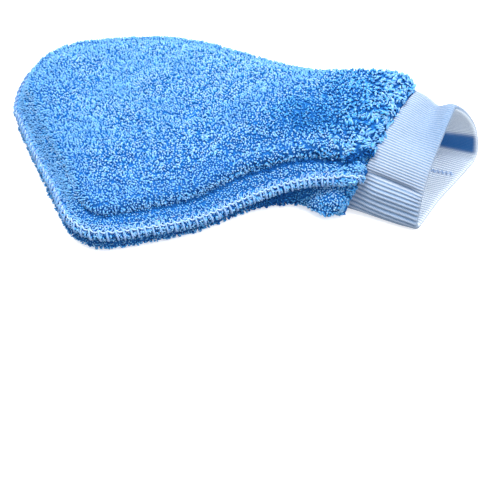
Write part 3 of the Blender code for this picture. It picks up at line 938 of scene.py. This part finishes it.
def cuff_line(shares, count):
    """One ring of the cuff as points at even shares of the way round from the near crease."""
    corners = cuff_low + np.array(shares) * (cuff_high - cuff_low)
    padded = np.vstack([corners[-2:], corners, corners[:3]])
    wanted = np.arange(count) / count * len(corners) + 2
    index = wanted.astype(int)
    t = (wanted - index)[:, None]
    before, start, end, after = [padded[index + offset] for offset in (-1, 0, 1, 2)]
    line = 0.5 * (2 * start + (end - before) * t + (2 * before - 5 * start + 4 * end - after) * t ** 2
                  + (3 * start - before - 3 * end + after) * t ** 3)
    line[:, 2] = np.maximum(line[:, 2], 0.0)
    return line


cuff_count = RIBS * POINTS_PER_RIB
neck_line = cuff_line(NECK_SHARES, cuff_count)
rim_line = cuff_line(RIM_SHARES, cuff_count)
ring_share = np.arange(cuff_count) / cuff_count


def round_from(middle):
    """How far round the cuff each point is from one place, as a share, to either side."""
    return (ring_share - middle + 0.5) % 1.0 - 0.5


def cuff_ring(share, inset):
    """A ring of the cuff's cloth, with its crease, dent and slack, set in from its outer face."""
    ring = neck_line + (rim_line - neck_line) * share
    around = np.roll(ring, -4, axis=0) - np.roll(ring, 4, axis=0)
    inward = unit(np.cross(around, cuff_along))
    for _ in range(3):
        inward = unit(inward + np.roll(inward, 10, axis=0) + np.roll(inward, -10, axis=0))
    slack = 0.0007 * np.sin(2 * math.pi * ring_share * 5 + 3.0 * share)
    crease = 0.0022 * np.exp(-(round_from(0.005) / 0.007) ** 2)
    crease -= 0.0016 * np.exp(-(round_from(0.965) / 0.020) ** 2)
    dent = 0.0044 * np.exp(-(round_from(0.26) / 0.10) ** 2 - ((share - 0.50) / 0.26) ** 2)
    dent += 0.0016 * np.exp(-(round_from(0.13) / 0.035) ** 2 - ((share - 0.45) / 0.5) ** 2)
    ends = min(1.0, 4 * (1 - share)) * min(1.0, 0.3 + 3 * max(share, 0.0))
    depth = inset + (slack + crease + dent) * ends
    ring = ring + inward * depth[:, None]
    ring[:, 2] = np.maximum(ring[:, 2], 0.0002)
    return ring, inward


# The ribs are crowded where the cuff is stretched over its top and open below its near crease.
rib_crowding = 1.0 + 0.35 * np.exp(-(round_from(0.22) / 0.20) ** 2)
rib_crowding -= 0.45 * np.exp(-(round_from(0.93) / 0.07) ** 2)
rib_place = np.cumsum(rib_crowding) / rib_crowding.sum() * RIBS
rib_deepness = 0.70 + 1.2 * np.exp(-(round_from(0.93) / 0.07) ** 2)


def rib_wave(share, side):
    """Height of the ribs round one ring."""
    return (0.5 + 0.5 * np.cos(2 * math.pi * rib_place + 0.4 * math.sin(5 * share) + side)) ** 0.8


cuff_length = float(np.linalg.norm(rim_line - neck_line, axis=1).mean())
start_share = -SEAM_BITE / cuff_length
outer_shares = np.linspace(start_share, 1 - RIM_ROUND / cuff_length, CUFF_STEPS)
sections = [(share, 0.0, 1.0) for share in outer_shares]
for turn in np.linspace(0, math.pi, 9)[1:-1]:
    sections.append((1 - RIM_ROUND / cuff_length * (1 - math.sin(turn)),
                     CUFF_WALL / 2 * (1 - math.cos(turn)), 0.9))
sections += [(share, CUFF_WALL, 1.0) for share in outer_shares[::-1]]
cuff_points, cuff_marks = [], []
for row, (share, inset, ribbed) in enumerate(sections):
    ring, inward = cuff_ring(share, inset)
    facing = 1.0 if row < len(sections) / 2 else -1.0
    wave = rib_wave(share, 0.0 if facing > 0 else math.pi)
    rim = min(1.0, max(0.0, (1 - share) * cuff_length - 0.0006) / RIM_ROUND)
    deep = ribbed * (0.80 + 0.20 * rim)
    ring = ring - inward * (facing * RIB_HEIGHT * (wave - 0.5) * deep * rib_deepness)[:, None]
    ring[:, 2] = np.maximum(ring[:, 2], 0.0001)
    cuff_points.append(ring)
    if facing > 0:
        # Painted shade on the outer face: darker over the top towards the mouth and below the near
        # crease.
        tone = 1 - (0.22 + 0.50 * share) * np.exp(-(round_from(0.20) / 0.12) ** 2)
        tone -= 0.42 * np.exp(-(round_from(0.93) / 0.065) ** 4)
        inner, throat = 0.0, np.zeros(cuff_count)
        seen = (1 - (1 - wave) * deep) * tone
    else:
        inner = min(1.0, max(0.0, (inset - 0.0008) / 0.001))
        # Painted shade in the pouch's blue, deep in the mouth and on the inner face towards the neck.
        throat = np.exp(-(np.abs(round_from(0.480)) / 0.048) ** 8) * min(1.0, (1 - share) / 0.06)
        throat = np.maximum(throat, min(1.0, max(0.0, (0.45 - share) / 0.2)))
        seen = 1 - (1 - wave) * deep
    cuff_marks.append(np.stack([seen, np.full(cuff_count, share), throat,
                                np.full(cuff_count, inner)], axis=1))
cuff_faces = []
rows = len(sections)
for row in range(rows):
    following = (row + 1) % rows
    for column in range(cuff_count):
        beside = (column + 1) % cuff_count
        cuff_faces.append((row * cuff_count + column, row * cuff_count + beside,
                           following * cuff_count + beside, following * cuff_count + column))
rib_cuff = mesh_of("rib_knit_cuff", np.vstack(cuff_points), cuff_faces)
pick(rib_cuff)
bpy.ops.object.mode_set(mode="EDIT")
bpy.ops.mesh.select_all(action="SELECT")
bpy.ops.mesh.normals_make_consistent(inside=False)
bpy.ops.object.mode_set(mode="OBJECT")
paint(rib_cuff, "rib", np.vstack(cuff_marks))
rib_finish = Finish("rib_knit_pale", 0.8, sheen=0.1)
rib_parts = rib_finish.node("ShaderNodeAttribute", {"attribute_name": "rib"})
rib_split = rib_finish.node("ShaderNodeSeparateColor", None, {"Color": rib_parts.outputs["Color"]})
rib_rise = Strand(rib_finish, rib_split.outputs[0])
rib_share = Strand(rib_finish, rib_split.outputs[1])
fuzz = rib_finish.noise(rib_finish.place(), 1400.0, 1.0)
turns = 2 * math.pi * cuff_length / KNIT_LOOP
loops = rib_share.math("SINE", rib_share * turns + rib_rise * 2.0)
rib_light = (rib_rise * 0.80 + loops * 0.10 + (fuzz - 0.5) * 0.35 + 0.20).clamp()
rib_throat = Strand(rib_finish, rib_split.outputs[2])
rib_inner = Strand(rib_finish, rib_parts.outputs["Alpha"])
rib_ridge = rib_finish.mix(rib_inner, CUFF_PALE, CUFF_INSIDE_LIT)
# Between the ribs the knit takes the groove colour: painted shade.
rib_outer = rib_finish.mix(rib_light, CUFF_GROOVE_SHADE, rib_ridge)
rib_finish.colour(rib_finish.mix(rib_throat, rib_outer, CUFF_THROAT))
rib_finish.bump(loops * 0.5 + fuzz, 0.4, 0.0003)
# Painted glow: the inner face emits, away from the throat.
rib_glow = rib_finish.mix(rib_inner - rib_throat, (0.0, 0.0, 0.0), CUFF_INSIDE_LIT)
rib_finish.feed(rib_finish.shader.inputs["Emission Color"], rib_glow)
rib_finish.shader.inputs["Emission Strength"].default_value = CUFF_GLOW
rib_cuff.data.materials.append(rib_finish.material)
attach(rib_cuff, "cuff")
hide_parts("rib_cuff")


# ---- cuff seams --------------------------------------------------------------------------------------
# Inside the cuff: the overlock loops over the gathered seam allowance, the straight needle row
# that holds it, and the row that closes the rib strip into a tube.
def ring_thread(node, name, waves, height, thick):
    """A looped thread round the inside of the cuff, on the line of its CAD band."""
    points = points_of(frame["nodes"][node].data)
    centre = points.mean(axis=0)
    angle = np.arctan2(points[:, 2] - centre[2], (points - centre) @ cuff_across)
    shares = np.linspace(-math.pi, math.pi, 61)[:-1]
    line = []
    for start in shares:
        off = np.abs((angle - start + math.pi) % (2 * math.pi) - math.pi)
        line.append(points[off < 0.16].mean(axis=0))
    ring = smooth_line(np.array(line), 0.0006, closed=True)
    phase = np.arange(len(ring)) / len(ring) * 2 * math.pi * waves
    ring = ring + cuff_along * (height * np.sin(phase))[:, None]
    inside = unit(centre - ring)
    ring = ring + inside * (0.0004 * np.cos(phase * 2))[:, None]
    ring = np.vstack([ring, ring[:1]])
    piece = thread(name, [ring], thick, thread_finish, sides=4)
    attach(piece, "cuff")
    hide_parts(node)
    return piece


ring_thread("cuff_seam_needle_thread", "cuff_seam_needle_stitches", 60, 0.0002, 0.0003)
ring_thread("cuff_seam_upper_looper_thread", "cuff_seam_upper_loops", 48, 0.0022, 0.00036)
ring_thread("cuff_seam_lower_looper_thread", "cuff_seam_lower_loops", 48, 0.0022, 0.00036)
side_points = points_of(frame["nodes"]["cuff_side_seam_thread"].data)
side_along = (side_points - side_points.mean(axis=0)) @ cuff_along
side_start = side_points[side_along < side_along.min() + 0.0008].mean(axis=0)
side_end = side_points[side_along > side_along.max() - 0.0008].mean(axis=0)
side_share = np.linspace(0, 1, 90)[:, None]
side_path = side_start + (side_end - side_start) * side_share
side_path += cuff_across * 0.0012 * np.sin(side_share * 2 * math.pi * 12)
side_seam = thread("cuff_side_seam_loops", [side_path], 0.00034, thread_finish, sides=4)
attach(side_seam, "cuff")
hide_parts("cuff_side_seam_thread")
